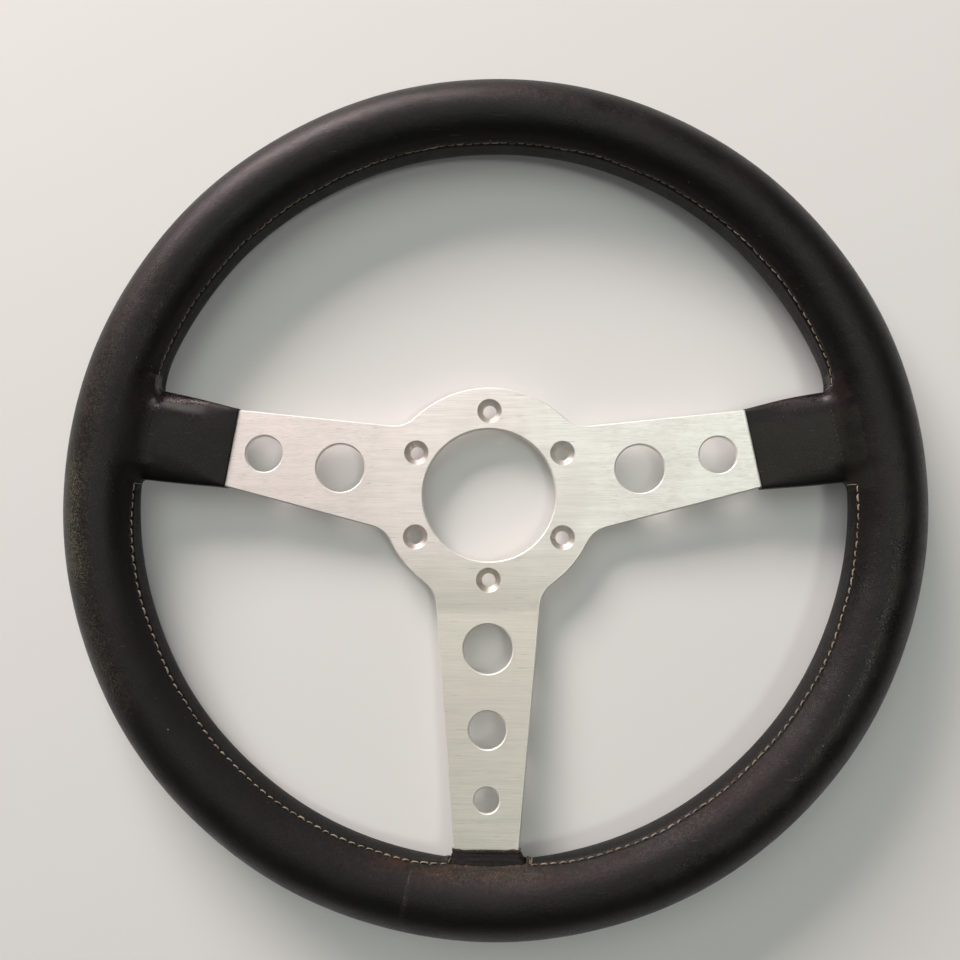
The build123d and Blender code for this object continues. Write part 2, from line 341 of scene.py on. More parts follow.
def grid_rows(round_wheel):
    """Angles round the grip of the rows, at an angle round the wheel."""
    low = GRIP_ROWS[EAR_ROWS[0]]
    from_collar = np.abs(round_wheel - radians(ARMS["bottom"]))
    drift = (seam_lean(round_wheel) - SEAM_ROW) * ease(*COLLAR_CALM, from_collar)
    below = (GRIP_ROWS - low) / (SEAM_ROW - low)
    above = (STILL_ROW - GRIP_ROWS) / (STILL_ROW - SEAM_ROW)
    return GRIP_ROWS + drift * np.clip(np.minimum(below, above), 0, 1)


def grid_index(column, row):
    """Number of the grid's point in a column and row."""
    return column % COLUMNS * len(GRIP_ROWS) + row


def opening_of(arm):
    """Middle column, half the columns, and rows of the opening at an arm."""
    column = round(ARMS[arm] / 360 * COLUMNS)
    return (column, EAR_COLUMNS, EAR_ROWS) if arm in EARS else (column, COLLAR_COLUMNS, COLLAR_ROWS)


def opening_ring(column, half_columns, rows):
    """Grid places round an opening, each with where it lies across and through it, from -1 to 1."""
    low, high = rows
    wide, deep = 2 * half_columns, high - low
    ring = [(k, deep) for k in range(wide)] + [(wide, deep - k) for k in range(deep)]
    ring += [(wide - k, 0) for k in range(wide)] + [(0, k) for k in range(deep)]
    return [(column - half_columns + c, low + r, 2 * c / wide - 1, 2 * r / deep - 1) for c, r in ring]


def grip_faces():
    """The grid's faces round the grip, without those of the openings."""
    open_cells = {
        ((column + c) % COLUMNS, r)
        for column, half, rows in map(opening_of, ARMS)
        for c in range(-half, half)
        for r in range(*rows)
    }
    cells = [(c, r) for c in range(COLUMNS) for r in range(len(GRIP_ROWS)) if (c, r) not in open_cells]
    faces = []
    for c, r in cells:
        above = (r + 1) % len(GRIP_ROWS)
        faces.append((grid_index(c, r), grid_index(c, above), grid_index(c + 1, above), grid_index(c + 1, r)))
    return faces


def grow_sleeve(arm, points, faces):
    """Adds an ear's sleeve to the grid, ring by ring from its opening to its cut edge."""
    out, across = arm_axes(arm)
    ring = opening_ring(*opening_of(arm))
    previous = [grid_index(c, r) for c, r, _, _ in ring]
    base = np.array([points[i] for i in previous])
    _, _, side, deep = np.array(ring).T
    top_cut, bottom_cut = EAR_CUTS[arm]
    cut = bottom_cut + (top_cut - bottom_cut) * (1 + UPWARD[arm] * side) / 2
    loops = []
    for station in EAR_STATIONS:
        stations = station + cut * (1 - ease(EAR_START, 119, station))
        loop = stations[:, None] * out + SLEEVE_HALF_WIDTH * side[:, None] * across
        loop[:, 2] = middle_height(stations) + SLEEVE_HALF_DEPTH * deep
        loops.append(loop)
    bridge = [base + (loops[0] - base) * share for share in (0.25, 0.5, 0.75)]
    for loop in bridge + loops:
        current = list(range(len(points), len(points) + len(ring)))
        points.extend(loop)
        for k in range(len(ring)):
            after = (k + 1) % len(ring)
            faces.append((previous[k], previous[after], current[after], current[k]))
        previous = current


def cover_grid():
    """Rough cover: its points and faces."""
    angles = np.arange(COLUMNS) * 2 * pi / COLUMNS
    points = list(np.concatenate([grip_point(np.full(len(GRIP_ROWS), a), grid_rows(a)) for a in angles]))
    faces = grip_faces()
    for arm in EARS:
        grow_sleeve(arm, points, faces)
    for c, r, side, _ in opening_ring(*opening_of("bottom")):
        if abs(side) == 1:
            reach = RIM_RADIUS - GRIP * cos(GRIP_ROWS[r])
            turn = radians(ARMS["bottom"]) + np.arcsin((COLLAR_MIDDLE + side * COLLAR_HALF) / reach)
            points[grid_index(c, r)] = grip_point(turn, GRIP_ROWS[r])
    used = sorted({i for face in faces for i in face})
    renumber = {old: new for new, old in enumerate(used)}
    return np.array(points)[used], [tuple(renumber[i] for i in face) for face in faces]


def relaxed(points, edges, weight, rounds):
    """Evens out points where weight is above 0, keeping them on the surface."""
    near = weight > 0
    edges = edges[near[edges[:, 0]] | near[edges[:, 1]]]
    count = np.maximum(np.bincount(edges.ravel(), minlength=len(points)), 1)
    for _ in range(rounds):
        total = np.zeros_like(points)
        np.add.at(total, edges[:, 0], points[edges[:, 1]])
        np.add.at(total, edges[:, 1], points[edges[:, 0]])
        moved = points[near] + 0.5 * weight[near, None] * (total[near] / count[near, None] - points[near])
        points[near] = settle(moved, 1)
    return points


def seam_relief(points):
    """Height along the seams: a groove that each stitch pulls deeper, with swollen lips."""
    round_wheel, round_grip, off = grip_frame(points)
    strays = (round_grip - seam_lean(round_wheel)) * GRIP
    total = np.zeros(len(points))
    for low, high, stitches in SEAM_RUNS.values():
        for lap in (0, 360):
            place = np.degrees(round_wheel) + lap
            near = plateau(place, low - 0.5, low + 0.4, high - 0.4, high + 0.5)
            pull = np.cos(2 * pi * stitches * (place - low) / (high - low))
            groove = -(GROOVE + GROOVE_PULL * pull) * hump(strays, 0, GROOVE_WIDTH)
            lips = hump(strays, LIP_PLACE, LIP_WIDTH) + hump(strays, -LIP_PLACE, LIP_WIDTH)
            total += near * (groove + (LIP - LIP_PULL * pull) * lips)
    return total * (np.abs(off) < 3)


def root_line(across):
    """Station of the stitched line across an ear's root."""
    return 140.4 - 0.015 * across


def ear_relief(points):
    """The ears' stitched roots, the seams behind, soft drag lines and swollen upper edges."""
    relief = np.zeros(len(points))
    for arm in EARS:
        station, across, lift = arm_frame(points, arm)
        on_ear = beside_ear(station, across, 100, 147)
        front = on_ear * (lift > 0) * plateau(across, -13, -5, 13, 16)
        relief -= ROOT_CREASES[arm] * front * hump(station, root_line(across), 0.6)
        back = on_ear * (lift < 0) * plateau(station, 107.5, 110, 140, 143)
        relief -= 0.45 * back * hump(across, 0, 0.6)
        relief += 0.12 * back * (hump(across, 1.5, 0.9) + hump(across, -1.5, 0.9))
        drag = on_ear * (lift > 0) * plateau(station, 116, 140, 141, 144)
        relief -= 0.1 * drag * hump(across + 11.5 - 0.15 * (station - 130), 0, 1.8)
        relief += EAR_SWELLS[arm] * drag * hump(across, 13.0, 3.2)
    return relief


def grip_relief(points):
    """The slight unevenness of foam under hand-stretched leather."""
    round_wheel, round_grip, off = grip_frame(points)
    return waves(round_wheel, (0.10, 5, 2 * np.sin(round_grip)), (0.07, 13, round_grip)) * (np.abs(off) < 2)


def collar_lip(points):
    """Raised, ragged cut edge of the rim's leather round the collar."""
    station, across, lift = arm_frame(points, "bottom")
    side = np.abs(across - COLLAR_MIDDLE) - COLLAR_HALF
    depth = np.abs(lift) - GRIP * abs(sin(GRIP_ROWS[COLLAR_ROWS[1]]))
    away = np.hypot(np.maximum(side, 0), np.maximum(depth, 0))
    near = (station > 140) & (station < 156)
    ragged = 0.5 + 0.5 * np.sin(2.1 * across + 1.2) * np.sin(3.7 * across + 0.4)
    return near * (0.35 + 0.3 * ragged) * hump(away, 0.3, 1.1)


def patch_of(place, lean, middle, width, lean_middle, lean_width):
    """Soft-edged patch of the grip, in degrees round the wheel and round the grip."""
    apart = np.abs(np.mod(place - middle + 180, 360) - 180)
    return (1 - ease(0.6 * width, 1.4 * width, apart)) * hump(lean, lean_middle, lean_width)


def cover_marks(points):
    """Where the leather is worn, purple-brown or painted purple as a highlight, rusty, dull and painted
    darker as shade (polished below 0), green-grey or painted green-grey as a highlight, or raw.
    """
    round_wheel, round_grip, off = grip_frame(points)
    place, lean = np.degrees(round_wheel), np.degrees(round_grip)
    on_grip = np.abs(off) < 2.5
    marks = {
        mark: on_grip * sum(strength * patch_of(place, lean, *patch) for strength, *patch in patches)
        for mark, patches in PATCHES.items()
    }
    # dull, and painted darker as shade, along the grip's underside; polished under the painted green-grey
    # highlight
    marks["matt_and_shade"] += on_grip * 0.8 * hump(lean, -6, 22) - 0.25 * marks["olive_and_highlight"]
    # no purple under the painted green-grey highlight band
    marks["tint_and_highlight"] *= 1 - ease(66, 74, lean) * patch_of(place, lean, 330, 50, 80, 60)
    for arm in EARS:
        station, across, lift = arm_frame(points, arm)
        on_ear = beside_ear(station, across, 100, 150) & (lift > 0)
        # the ears' upper edges: painted purple as a highlight, and polished
        upper = ease(6, 13, across) * plateau(station, 112, 124, 146, 150)
        marks["tint_and_highlight"] = np.maximum(marks["tint_and_highlight"], EAR_PAINTED_HIGHLIGHTS[arm] * on_ear * upper)
        polish = 0.35
        if arm == "left":
            polish = polish + 0.22 * hump(station, 134, 13)
        else:
            marks["olive_and_highlight"] = np.maximum(marks["olive_and_highlight"], on_ear * (1 - ease(7, 13, across)))
        marks["matt_and_shade"] = np.where(on_ear, -polish * upper, marks["matt_and_shade"])
    marks["raw"] = collar_lip(points) * 1.6
    for mark in ("tint_and_highlight", "rust", "raw"):
        marks[mark] = np.clip(marks[mark], 0, 1)
    return marks


def shell(points, normals, faces, thickness):
    """Closed skin: the faces, the same moved inwards, and strips along the open edges."""
    count = len(points)
    inner = points - normals * thickness[:, None]
    closed = list(faces) + [tuple(i + count for i in reversed(face)) for face in faces]
    closed += [(b, a, a + count, b + count) for a, b in open_edges(faces)]
    return np.concatenate([points, inner]), closed


def make_cover():
    """The leather of rim and ears in one skin, thinner where an ear lies on the plate."""
    points, edges, faces = modified(*cover_grid(), "SUBSURF", levels=1, boundary_smooth="ALL")
    points = settle(points, 6)
    weight = np.zeros(len(points))
    for arm in EARS:
        station, across, _ = arm_frame(points, arm)
        root = plateau(station, 122, 130, 152, 158) * (1 - ease(24, 32, np.abs(across)))
        weight = np.maximum(weight, root)
    points = relaxed(points, edges, weight, 12)
    normals = outward(points)
    relief = seam_relief(points) + ear_relief(points) + grip_relief(points) + collar_lip(points)
    marks = cover_marks(points)
    thickness = np.full(len(points), LEATHER)
    for arm in EARS:
        station, across, lift = arm_frame(points, arm)
        plate = box_section(across, lift, arm_half_width(arm, station), PLATE_HALF, 0.1)
        room = np.clip(plate - GLUE, 0.25, LEATHER)
        thickness = np.where(beside_ear(station, across, 100, 135), room, thickness)
    skin, closed = shell(points + normals * relief[:, None], normals, faces, thickness)
    marks = {key: np.tile(values, 2) for key, values in marks.items()}
    cover = mesh_object("leather_cover", skin, closed, marks)
    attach(cover, "root")
    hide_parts("rim_leather", "left_ear_leather", "right_ear_leather")
    return cover


# ---- Ear pads

def make_ear_pad(arm):
    """An ear's foam pad: the CAD pad in even faces, pressed in where the leather lies lower."""
    points, _, faces = parts_of(nodes[arm + "_ear_padding"].data)
    points, _, faces = modified(points, faces, "REMESH", mode="VOXEL", voxel_size=PAD_VOXEL * MM)
    for _ in range(5):
        sink = np.maximum(leather_distance(points) + LEATHER + PAD_GAP, 0)
        points = points - slope_of(points) * sink[:, None]
    pad = mesh_object(arm + "_ear_pad", points, faces)
    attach(pad, "root")
    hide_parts(arm + "_ear_padding")
    return pad


# ---- Threads: each stitch is a short two-ply cord whose ends dive into the leather

PLY_DEPTH, PLY_TWIST = 0.16, 2.2  # how far plies stand out, in radii, and radians of twist per millimetre
SEAM_SINK, EAR_SINK = 0.7, 0.6  # how deep a stitch's ends dive
# How a seam is sewn: half a stitch's share of its pitch, slant, stray, rise and radius
UPPER_SEWING, LOWER_SEWING = (0.45, -0.08, 0.14, -0.06, 0.23), (0.37, -0.17, 0.08, 0.1, 0.27)
SEAM_GRIME = {"lower_left": 0.15, "lower_right": 0.35}
CROSS_RADIUS, CROSS_SOIL = 0.2, 0.35
TUFT_FIBRES = 9
ROOT_RISES = {"right": 0.14, "left": 0.04}


def cord_rings(line, lift_axis, radius, sides):
    """Rings of points of a two-ply cord along a line of points."""
    along = unit(np.gradient(line, axis=0))
    across = unit(np.cross(along, lift_axis))
    up = np.cross(across, along)
    run = np.concatenate([[0], np.cumsum(np.linalg.norm(np.diff(line, axis=0), axis=1))])
    turn = np.arange(sides) * 2 * pi / sides
    thick = radius[:, None] * (1 + PLY_DEPTH * np.cos(2 * (turn - PLY_TWIST * run[:, None])))
    rings = np.cos(turn)[:, None] * across[:, None] + np.sin(turn)[:, None] * up[:, None]
    return line[:, None] + thick[..., None] * rings


class Threads:
    """Gathers many short cords into one mesh."""

    def __init__(self):
        self.points, self.faces, self.soil = [], [], []

    def add(self, line, lift_axis, radius, soil=0.0, sides=8):
        """One cord, closed at both ends."""
        rings = cord_rings(line, lift_axis, radius, sides)
        start, last = len(self.points), len(self.points) + (len(rings) - 1) * sides
        self.points.extend(rings.reshape(-1, 3))
        self.faces += tube_faces(len(rings), sides, start)
        self.faces.append(tuple(start + m for m in range(sides)))
        self.faces.append(tuple(last + m for m in reversed(range(sides))))
        self.soil.extend([soil] * (len(rings) * sides))

    def build(self, name, slot_name, *stands_for):
        """One mesh object of all cords, in place of CAD nodes."""
        made = mesh_object(name, self.points, self.faces, {"soil": self.soil})
        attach(made, "root")
        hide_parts(*stands_for)
        return made


def add_stitch(threads, start, end, radius, rise, sink, soil, count=9):
    """One stitch on the leather, between two points near it."""
    share = np.linspace(0, 1, count)[:, None]
    line = settle(start * (1 - share) + end * share)
    normals = outward(line)
    share = np.linspace(-1, 1, count)
    height = -sink + (rise + sink) * (1 - np.abs(share) ** 4)
    taper = radius * (1 - 0.25 * np.abs(share) ** 3)
    threads.add(line + normals * height[:, None], normals, taper, soil)


def seam_point(angle, stray):
    """Point on the leather at an angle round the wheel and a distance across the seam."""
    return grip_point(np.asarray(angle), seam_lean(angle) + stray / GRIP)


def add_cross_stitch(threads, angle, drift, reach, rng):
    """Thin thread from a seam's end down over the grip's inner edge."""
    count = 22
    share = np.linspace(0, 1, count)
    lean = seam_lean(angle) * (1 - share) - radians(reach) * share
    sway = drift * share + 0.35 * np.sin(5 * share + rng.uniform(0, 6)) * share * (1 - share)
    line = settle(grip_point(angle + sway / (RIM_RADIUS - GRIP), lean))
    normals = outward(line)
    lift = 0.16 * np.sin(pi * share) ** 0.5 - 0.05
    line = line + normals * (seam_relief(line) + ear_relief(line) + lift)[:, None]
    threads.add(line, normals, np.full(count, CROSS_RADIUS), CROSS_SOIL, sides=6)


def add_tuft(threads, angle, rng):
    """Frayed end of a seam, in loose fibres."""
    root = settle(seam_point(angle, -0.4)[None])[0]
    normal = outward(root[None])[0]
    share = np.linspace(0, 1, 7)[:, None]
    for _ in range(TUFT_FIBRES):
        lean = np.array([rng.uniform(-1.0, 0.5), rng.uniform(-0.4, 1.3), 0]) + normal * rng.uniform(0.4, 1.1)
        length = rng.uniform(1.4, 3.2)
        line = root + share * lean * length / np.linalg.norm(lean)
        line = line + share**2 * rng.uniform(-0.5, 0.5, 3)
        threads.add(line - normal * 0.2, np.tile(normal, (7, 1)), np.linspace(0.1, 0.04, 7), 0.45, sides=5)


def make_seams(rng):
    """The rim's hand stitching, in three runs between the arms."""
    for run, (low, high, stitches) in SEAM_RUNS.items():
        threads = Threads()
        pitch = radians(high - low) / stitches
        upper = run == "upper"
        half, slope, wander, height, thick = UPPER_SEWING if upper else LOWER_SEWING
        for k in range(stitches):
            middle = radians(low) + (k + 0.5) * pitch
            reach = (half + 0.04 * rng.standard_normal()) * pitch
            slant = slope + 0.12 * rng.standard_normal()
            stray = wander * rng.standard_normal()
            grime = 0.25 + 0.4 * (1 - ease(60, 110, degrees(middle))) if upper else SEAM_GRIME[run]
            soil = np.clip(grime + 0.25 * rng.standard_normal(), 0, 1)
            rise = height + 0.05 * rng.standard_normal()
            radius = thick * (1 + 0.15 * rng.standard_normal())
            start = seam_point(middle - reach, stray - slant)
            end = seam_point(middle + reach, stray + slant)
            add_stitch(threads, start, end, radius, rise, SEAM_SINK, soil)
        for angle, inwards in ((radians(low), -1), (radians(high), 1)):
            add_cross_stitch(threads, angle, inwards * rng.uniform(0.2, 1.2), 12 + rng.uniform(0, 6), rng)
        if run == "lower_right":
            add_cross_stitch(threads, radians(low + 0.3), 0.4, 8, rng)
            add_tuft(threads, radians(low + 0.2), rng)
        yield threads.build(f"{run}_stitching", "pale_thread", f"{run}_seam_thread")


def make_ear_threads(rng):
    """Dark stitches: a line across each ear's root, and its closing seam behind."""
    for arm in EARS:
        out, across = arm_axes(arm)
        across = across * UPWARD[arm]
        root, closing = Threads(), Threads()
        for place in np.arange(-11.0, 15.1, 2.0):
            start = root_line(place) * out + (place - 0.55) * across + np.array([0, 0, RIM_MIDDLE + 7])
            rise = -0.2 + ROOT_RISES[arm] - 0.1 * (1 - ease(-11, 6, place))
            soil = 0.5 + 0.2 * rng.standard_normal()
            add_stitch(root, start, start + 1.1 * across, 0.17, rise, EAR_SINK, soil, 7)
        for station in np.arange(109.3, 141.0, 3.0):
            base = np.array([0, 0, middle_height(station) - 5])
            start = station * out - 1.1 * across + base
            end = (station + 1.9) * out + 1.1 * across + base
            add_stitch(closing, start, end, 0.28, -0.02, EAR_SINK, 0.4 + 0.2 * rng.standard_normal())
        yield root.build(f"{arm}_root_stitching", "dark_thread", f"{arm}_root_thread")
        yield closing.build(f"{arm}_sleeve_stitching", "dark_thread", f"{arm}_sleeve_thread")


# ---- Collar: a leather band round the bottom arm, folded as it tucks into the rim

COLLAR_EDGE, COLLAR_END = 140.3, 147.4
COLLAR_STATIONS = [140.45, 140.2, COLLAR_EDGE, *np.arange(140.6, 145.5, 0.35), 146.2, 146.8, COLLAR_END]
COLLAR_WIDTHS = [(140.3, 13.45), (142.4, 13.9), (145.6, 15.2), (149.6, 15.2)]  # stations and half widths
COLLAR_DEPTHS = [(140.3, 3.05), (141, 3.25), (142, 3.4), (145.2, 4.45), (146.8, 4.55), (149.6, 4.9)]
COLLAR_FOLDS = [(0.42, 1.0, 141.5, 0.42), (0.40, -1.0, 143.3, 0.5), (0.3, 0.6, 144.6, 0.35)]
COLLAR_SIDES = 96


def rounded_rectangle(turn, half_width, half_depth, corner):
    """Points across and above, at angles round a rounded rectangle."""
    flat = np.stack([np.cos(turn), np.sin(turn)], -1)
    section = np.sign(flat) * np.abs(flat) ** 0.35 * [half_width, half_depth]
    sizes, step = (half_width, half_depth, corner), 0.01
    for _ in range(6):
        across, lift = section[:, 0], section[:, 1]
        away = box_section(across, lift, *sizes)
        beyond = box_section(across + step, lift, *sizes), box_section(across, lift + step, *sizes)
        section = section - (away / step)[:, None] * (np.stack(beyond, -1) - away[:, None])
    return section


def make_collar():
    """The band: folded outside, from its cut edge into the rim, and plain inside, along the plate."""
    out, across = arm_axes("bottom")
    turn = (np.arange(COLLAR_SIDES) + 0.5) * 2 * pi / COLLAR_SIDES

    def ring(station, half_width, half_depth, corner):
        section = rounded_rectangle(turn, half_width, half_depth, corner)
        base = station * out + section[:, :1] * across
        base[:, 2] = middle_height(station) + section[:, 1]
        return base

    inset = np.zeros(len(COLLAR_STATIONS))
    inset[:3] = 0.55, 0.3, 0.1  # the cut edge is rounded
    widths = np.interp(COLLAR_STATIONS, *zip(*COLLAR_WIDTHS)) - inset
    depths = np.interp(COLLAR_STATIONS, *zip(*COLLAR_DEPTHS)) - inset
    wave = waves(turn, (0.3, 3, 0.8), (0.15, 7, 0))
    rings = []
    for station, half_width, half_depth in zip(COLLAR_STATIONS, widths, depths):
        loop = ring(station, half_width, half_depth, min(1.6, half_depth - 0.2))
        fold = sum(deep * hump(station + share * wave, at, wide) for deep, share, at, wide in COLLAR_FOLDS)
        crumple = 0.10 * np.sin(5 * turn + station) * ease(141, 143, station)
        ragged = waves(turn, (0.2, 4, 1), (0.1, 11, 0)) * (1 - ease(140.4, 142, station))
        shift = COLLAR_MIDDLE * ease(COLLAR_EDGE, 145.6, station)
        loop = loop + shift * across + ragged[:, None] * out
        centre = station * out + shift * across + np.array([0, 0, middle_height(station)])
        rings.append(loop - unit(loop - centre) * (fold + crumple)[:, None])
    for station in (COLLAR_END, 146.0, 142.0, 140.9):
        half_width = arm_half_width("bottom", station) + GLUE
        rings.append(ring(station, half_width, PLATE_HALF + GLUE, 0.4))
    points = np.concatenate(rings)
    raw_edge = hump(arm_frame(points, "bottom")[0], COLLAR_EDGE, 0.5)
    # turned round, so that they look outwards
    turned = [(a, d, c, b) for a, b, c, d in tube_faces(len(rings), COLLAR_SIDES, 0, closed=True)]
    collar = mesh_object("collar_leather", points, turned, {"raw": raw_edge})
    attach(collar, "root")
    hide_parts("bottom_collar")
    return collar


# ---- Materials

# Hues of the leather, then of the plate; some are painted light or shade, as marked
BLACK = (0.0046, 0.0050, 0.0042, 1)
BROWN_BLACK = (0.0088, 0.0068, 0.0064, 1)
PORE = (0.0028, 0.0028, 0.0025, 1)
# painted shade: darker black where the leather is dull, on the grip's underside and lower inner front
PAINTED_SHADE_BLACK = (0.0036, 0.0038, 0.0032, 1)
# green-grey hue of the right ear, and a painted highlight band along the crown at the lower right
OLIVE_AND_HIGHLIGHT = (0.0122, 0.0122, 0.0090, 1)
# purple-brown patches, and painted purple highlights on the upper left, the lower right's inner front and the
# ears' upper edges
PURPLE_AND_HIGHLIGHT = (0.0165, 0.0100, 0.0098, 1)
RUST = (0.031, 0.0155, 0.0090, 1)
RUBBED = (0.165, 0.150, 0.112, 1)
RAW_FIBRE = (0.16, 0.11, 0.075, 1)
SPECK = (0.33, 0.29, 0.25, 1)
SCRATCH = (0.16, 0.135, 0.12, 1)
# painted light: the plate is lighter on the right, pinker on the left, darker and warmer down the bottom arm
# and lighter again at its tip, standing for how the lamps light it
PLATE_LEFT_LIT = (0.95, 0.845, 0.82, 1)
PLATE_RIGHT_LIT = (0.985, 0.995, 0.935, 1)
PLATE_BOTTOM_SHADED = (0.775, 0.745, 0.655, 1)
PLATE_TIP_LIT = (0.86, 0.83, 0.75, 1)
TARNISH = (0.80, 0.725, 0.68, 1)
BRUSHING = (0.56, 0.54, 0.50, 1)
PLATE_SCRATCH = (0.32, 0.31, 0.29, 1)
SMUDGE = (0.50, 0.49, 0.46, 1)
# painted shade: the screw cones darker
SCREW_CONE_SHADE = (0.50, 0.47, 0.42, 1)
# painted highlight: chamfers near-white
CHAMFER_HIGHLIGHT = (0.93, 0.93, 0.90, 1)
BACKDROP, BACKDROP_HUE = 0.57, (0.97, 0.96, 0.94, 1)  # how pale the far floor and the horizon are


class Shader:
    """A node material, or a world, written as sums of named nodes."""

    def __init__(self, name, world=None):
        self.material = world or bpy.data.materials.new(name)
        self.material.use_nodes = True
        self.tree = self.material.node_tree
        self.surface = self.tree.nodes["Background" if world else "Principled BSDF"]
        self.place = self.add("TexCoord").outputs["Generated" if world else "Object"]

    def add(self, kind, inputs=None, **settings):
        made = self.tree.nodes.new("ShaderNode" + kind)
        for key, value in settings.items():
            setattr(made, key, value)
        for key, value in (inputs or {}).items():
            self.give(made.inputs[key], value)
        return made

    def give(self, socket, value):
        if isinstance(value, bpy.types.NodeSocket):
            self.tree.links.new(value, socket)
        else:
            socket.default_value = value

    def set(self, **values):
        for key, value in values.items():
            self.give(self.surface.inputs[key.replace("_", " ")], value)

    def math(self, operation, *values, clamp=False):
        made = self.add("Math", dict(enumerate(values)), operation=operation)
        made.use_clamp = clamp
        return made.outputs[0]

    times = partialmethod(math, "MULTIPLY")
    plus = partialmethod(math, "ADD")

    def scaled(self, scale):
        return self.add("Mapping", {"Vector": self.place, "Scale": scale}).outputs[0]

    def length(self, vector):
        return self.add("VectorMath", {0: vector}, operation="LENGTH").outputs["Value"]

    def axes(self, vector):
        return self.add("SeparateXYZ", {0: vector}).outputs

    def noise(self, scale, detail=2.0, roughness=0.5, place=None):
        inputs = {"Vector": place or self.place, "Scale": scale, "Detail": detail, "Roughness": roughness}
        return self.add("TexNoise", inputs).outputs["Fac"]

    def cells(self, scale, feature="F1", place=None):
        inputs = {"Vector": place or self.place, "Scale": scale}
        return self.add("TexVoronoi", inputs, feature=feature).outputs

    def rare(self, cells, channel, above):
        """1 in the few cells whose random number is above a share, else 0."""
        numbers = self.add("SeparateColor", {0: cells["Color"]}).outputs
        return self.math("GREATER_THAN", numbers[channel], above)

    def ramp(self, value, low, high, to_low=0.0, to_high=1.0):
        inputs = {"Value": value, "From Min": low, "From Max": high, "To Min": to_low, "To Max": to_high}
        made = self.add("MapRange", inputs, clamp=True, interpolation_type="SMOOTHSTEP")
        return made.outputs[0]

    def mix(self, share, first, second):
        made = self.add("Mix", data_type="RGBA")
        for index, value in ((0, share), (6, first), (7, second)):
            self.give(made.inputs[index], value)
        return made.outputs[2]

    def seen(self):
        """1 for what is seen, also by reflection or through glass, and 0 for light thrown back."""
        ray = self.add("LightPath").outputs
        indirect = self.math("MAXIMUM", ray["Is Glossy Ray"], ray["Is Transmission Ray"])
        return self.math("MAXIMUM", ray["Is Camera Ray"], indirect)

    def attribute(self, name):
        return self.add("Attribute", attribute_name=name).outputs["Fac"]

    def bump(self, height, distance, **below):
        inputs = {"Height": height, "Distance": distance, **below}
        return self.add("Bump", inputs).outputs[0]


def aged(s, colour, rough, patch):
    """Colour and roughness of leather with the attributes that cover_marks gives."""
    mottle = s.noise(560, 3, 0.7)
    rough = s.plus(rough, s.times(s.attribute("matt_and_shade"), 0.22))
    # painted shade: darker where the leather is dull
    colour = s.mix(s.times(s.attribute("matt_and_shade"), 0.6, clamp=True), colour, PAINTED_SHADE_BLACK)
    # green-grey hue, and the painted green-grey highlight
    olive_and_highlight = s.plus(s.attribute("olive_and_highlight"), s.ramp(patch, 0.3, 0.7, -0.4, 0.2))
    colour = s.mix(s.ramp(olive_and_highlight, 0.2, 1.0), colour, OLIVE_AND_HIGHLIGHT)
    uneven = s.plus(s.ramp(patch, 0.3, 0.7, -0.28, 0.28), s.ramp(mottle, 0.3, 0.7, -0.2, 0.2))
    # purple-brown, and the painted purple highlights
    colour = s.mix(s.ramp(s.plus(s.attribute("tint_and_highlight"), uneven), 0.2, 1.0), colour, PURPLE_AND_HIGHLIGHT)
    colour = s.mix(s.ramp(s.plus(s.attribute("rust"), uneven), 0.3, 1.0), colour, RUST)
    tips = s.ramp(s.noise(1900, 2, 0.6), 0.42, 0.68)
    rubbed = s.times(tips, s.ramp(mottle, 0.3, 0.65, 0.35, 1.1))
    scuff = s.times(s.attribute("wear"), rubbed, clamp=True)
    colour = s.mix(s.times(scuff, 0.9, clamp=True), colour, RUBBED)
    return colour, s.plus(rough, s.times(scuff, 0.22))


def flecked(s, colour):
    """Adds raw fibres at cut edges, rare pale specks and faint scratches two ways."""
    raw = s.times(s.attribute("raw"), s.ramp(s.noise(900, 3, 0.7), 0.46, 0.66), clamp=True)
    colour = s.mix(s.times(raw, 0.75), colour, RAW_FIBRE)
    specks = s.cells(210)
    dot = s.times(s.rare(specks, 0, 0.955), s.ramp(specks["Distance"], 0.03, 0.07, 1.0, 0.0))
    colour = s.mix(s.times(dot, 0.8), colour, SPECK)
    for turn, scale in ((0.7, (60, 1500, 900)), (2.2, (75, 1500, 900))):
        turned = s.add("Mapping", {"Vector": s.place, "Rotation": (0.0, 0.0, turn), "Scale": scale})
        lines = s.cells(1.0, place=turned.outputs[0])
        scratch = s.times(s.rare(lines, 1, 0.99), s.ramp(lines["Distance"], 0.2, 0.34, 1.0, 0.0))
        colour = s.mix(s.times(scratch, 0.2), colour, SCRATCH)
    return colour


